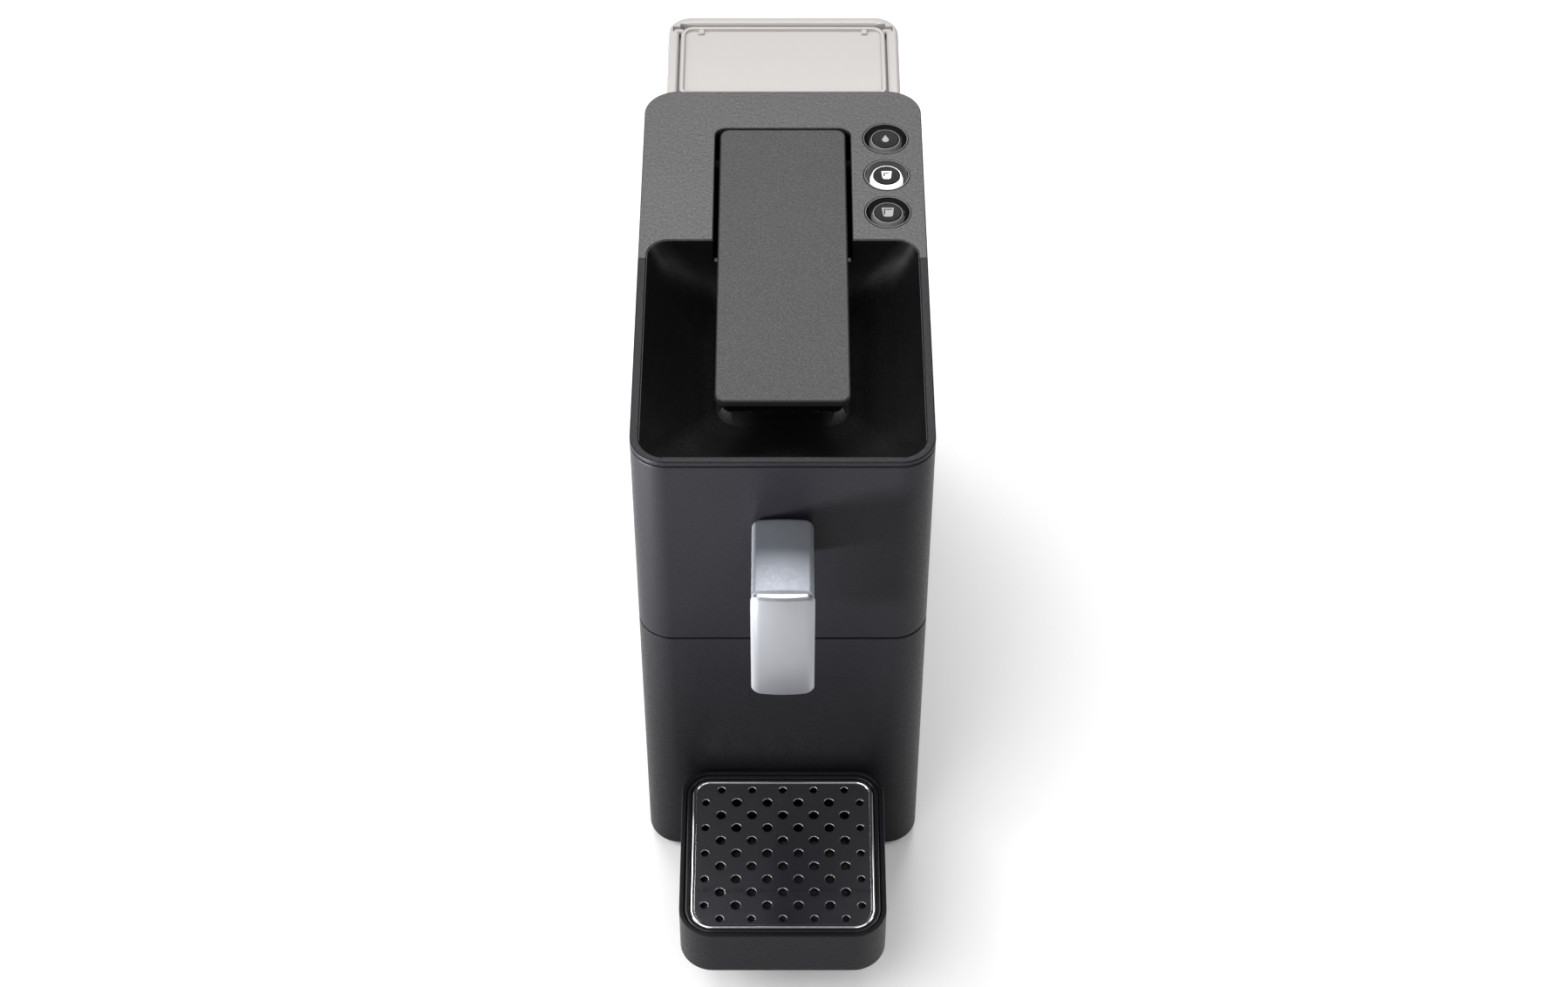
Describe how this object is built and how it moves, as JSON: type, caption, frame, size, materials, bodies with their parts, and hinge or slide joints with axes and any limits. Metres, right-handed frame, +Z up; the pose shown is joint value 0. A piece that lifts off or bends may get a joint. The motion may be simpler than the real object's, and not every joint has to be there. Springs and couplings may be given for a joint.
{
  "type": "pod coffee machine",
  "caption": "Slim pod coffee machine with a lift-up capsule lever, a front spout, a height-adjustable cup rest, a pull-out capsule drawer and a rear water tank.",
  "frame": {"origin": "on the table under the middle of the object's bounding box", "axes": "+Z up, +X to the right seen from the front, front (spout side) towards -Y"},
  "size_m": [0.118, 0.36, 0.254],
  "materials": {
    "casing": "fine moulded grain, satin anthracite",
    "deck": "fine moulded grain, dark grey",
    "lever_grey": "fine moulded grain, dark grey",
    "gloss_black": "smooth gloss",
    "inner_plastic": "moulded",
    "satin_metal": "satin plated",
    "polished_steel": "polished",
    "steel": "plain",
    "clear_tank": "frosted clear plastic",
    "button_glow": "milky light guide",
    "button_face": "smooth gloss",
    "rubber": "matte",
    "silicone": "translucent",
    "board_green": "circuit board",
    "white_nylon": "moulded nylon",
    "cast_aluminium": "as cast"
  },
  "bodies": {
    "housing": {"base_pan": "inner_plastic", "rubber_feet": "rubber", "lower_casing": "casing", "screws": "steel", "upper_casing": "casing", "chassis_frame": "inner_plastic", "cord_inlet_bushing": "rubber", "top_cover": "deck", "top_bowl": "gloss_black", "lever_hinge_pin": "steel", "brew_housing": "inner_plastic", "pipe_seal_block": "white_nylon", "outlet_plate": "steel", "outlet_gasket": "rubber", "coffee_duct": "silicone", "spout_arm": "satin_metal", "spout_cover": "satin_metal", "spout_nozzle": "inner_plastic", "button_bezels": "gloss_black", "button_board": "board_green", "tact_switches": "inner_plastic", "pump_body": "inner_plastic", "pump_mounts": "rubber", "pump_bracket": "steel", "thermoblock": "cast_aluminium", "block_feet": "white_nylon", "thermal_cutouts": "steel", "meter_housing": "white_nylon", "meter_lid": "white_nylon", "supply_hose": "silicone", "suction_hose": "silicone", "pressure_tube": "silicone", "hot_tube": "silicone", "power_board": "board_green"},
    "lever": {"lever_cover": "lever_grey", "lever_frame": "inner_plastic", "crank_pin": "steel"},
    "links": {"link_bars": "steel", "yoke_pin": "steel"},
    "carriage": {"brew_carriage": "white_nylon", "injector_plate": "steel", "injector_seal": "rubber", "injector_pipe": "steel"},
    "rinse_button": {"rinse_button_ring": "button_glow", "rinse_button_cap": "button_face"},
    "espresso_button": {"espresso_button_ring": "button_glow", "espresso_button_cap": "button_face"},
    "lungo_button": {"lungo_button_ring": "button_glow", "lungo_button_cap": "button_face"},
    "drawer": {"drawer_front": "casing", "capsule_bin": "inner_plastic"},
    "cup_rest": {"tray_shell": "casing"},
    "liner": {"drip_bowl": "gloss_black"},
    "grille": {"drip_grille": "polished_steel"},
    "tank": {"tank_body": "clear_tank", "valve_spring": "steel"},
    "lid": {"tank_lid": "clear_tank"},
    "valve": {"valve_plunger": "white_nylon", "valve_seal": "rubber"},
    "rotor": {"meter_rotor": "inner_plastic"}
  },
  "joints": [
    {"name": "lever_hinge", "type": "hinge", "parent": "housing", "child": "lever", "pos_m": [0, 0.079, 0.247], "axis": [-1, 0, 0], "range_deg": [0, 70]},
    {"name": "link_pivot", "type": "hinge", "parent": "lever", "child": "links", "pos_m": [0, 0.063, 0.245], "axis": [1, 0, 0], "range_deg": [0, 92]},
    {"name": "carriage_slide", "type": "slide", "parent": "housing", "child": "carriage", "axis": [0, 1, 0], "range_m": [0, 0.0244]},
    {"name": "rinse_press", "type": "slide", "parent": "housing", "child": "rinse_button", "axis": [0, 0, -1], "range_m": [0, 0.0012], "stiffness_N_per_m": 400, "springref_m": -0.001},
    {"name": "espresso_press", "type": "slide", "parent": "housing", "child": "espresso_button", "axis": [0, 0, -1], "range_m": [0, 0.0012], "stiffness_N_per_m": 400, "springref_m": -0.001},
    {"name": "lungo_press", "type": "slide", "parent": "housing", "child": "lungo_button", "axis": [0, 0, -1], "range_m": [0, 0.0012], "stiffness_N_per_m": 400, "springref_m": -0.001},
    {"name": "drawer_slide", "type": "slide", "parent": "housing", "child": "drawer", "axis": [0, -1, 0], "range_m": [0, 0.125]},
    {"name": "cup_rest_height", "type": "slide", "parent": "drawer", "child": "cup_rest", "axis": [0, 0, 1], "range_m": [-0.029, 0]},
    {"name": "liner_lift", "type": "slide", "parent": "cup_rest", "child": "liner", "axis": [0, 0, 1], "range_m": [0, 0.03]},
    {"name": "grille_lift", "type": "slide", "parent": "liner", "child": "grille", "axis": [0, 0, 1], "range_m": [0, 0.03]},
    {"name": "tank_lift", "type": "slide", "parent": "housing", "child": "tank", "axis": [0, 0, 1], "range_m": [0, 0.06]},
    {"name": "lid_hinge", "type": "hinge", "parent": "tank", "child": "lid", "pos_m": [0, 0.1714, 0.2449], "axis": [-1, 0, 0], "range_deg": [0, 95]},
    {"name": "valve_slide", "type": "slide", "parent": "tank", "child": "valve", "axis": [0, 0, 1], "range_m": [0, 0.0025], "stiffness_N_per_m": 150, "springref_m": -0.0015, "deforming": ["valve_spring"]},
    {"name": "rotor_spin", "type": "hinge", "parent": "housing", "child": "rotor", "pos_m": [0.026, 0.097, 0.012], "axis": [0, 0, 1], "continuous": true}
  ],
  "couplings": [
    {"joint": "link_pivot", "follows": "lever_hinge", "ratio": 1.3049},
    {"joint": "carriage_slide", "follows": "lever_hinge", "m_per_rad": 0.019899}
  ]
}
